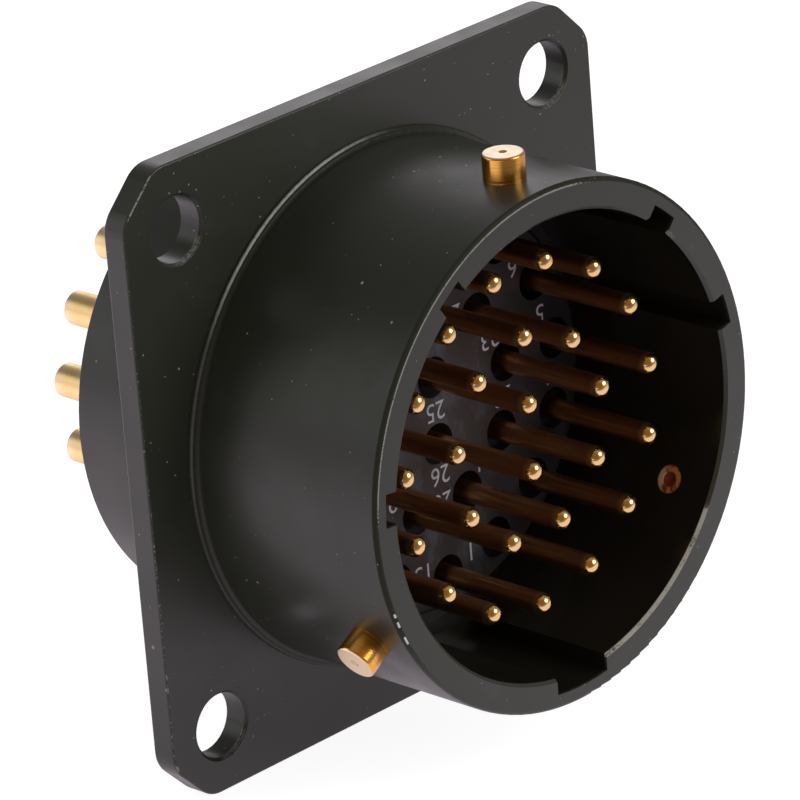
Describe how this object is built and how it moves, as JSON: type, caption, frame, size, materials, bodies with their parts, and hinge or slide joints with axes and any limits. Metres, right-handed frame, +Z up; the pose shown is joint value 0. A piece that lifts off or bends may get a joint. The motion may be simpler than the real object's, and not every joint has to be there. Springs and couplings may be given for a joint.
{
  "type": "bayonet circular connector receptacle",
  "caption": "Black square-flange bayonet receptacle: keyed round barrel with gold bayonet pins outside, a field of gold pin contacts inside and solder cups behind.",
  "frame": {"origin": "centre of the flange's four holes, on the connector's axis, in the flange's rear (seating) face", "axes": "+Y along the axis towards the solder cups, -Y out of the mating mouth, +Z up, away from the main keyway, +X to the right when looking into the mouth"},
  "size_m": [0.031, 0.0244, 0.031],
  "materials": {
    "shell": "satin",
    "bayonet_pin": "polished",
    "insert_face": "matte",
    "insert_body": "matte",
    "rear_insulator": "matte",
    "retaining_ring": "satin",
    "contact": "polished"
  },
  "bodies": {
    "root": {"shell": "shell", "bayonet_pin_top": "bayonet_pin", "bayonet_pin_left": "bayonet_pin", "bayonet_pin_right": "bayonet_pin", "insert_face": "insert_face", "insert_body": "insert_body", "rear_insulator": "rear_insulator", "retaining_ring": "retaining_ring", "contact_01": "contact", "contact_02": "contact", "contact_03": "contact", "contact_04": "contact", "contact_05": "contact", "contact_06": "contact", "contact_07": "contact", "contact_08": "contact", "contact_09": "contact", "contact_10": "contact", "contact_11": "contact", "contact_12": "contact", "contact_13": "contact", "contact_14": "contact", "contact_15": "contact", "contact_16": "contact", "contact_17": "contact", "contact_18": "contact", "contact_19": "contact", "contact_20": "contact", "contact_21": "contact", "contact_22": "contact", "contact_23": "contact", "contact_24": "contact", "contact_25": "contact", "contact_26": "contact"}
  },
  "joints": []
}
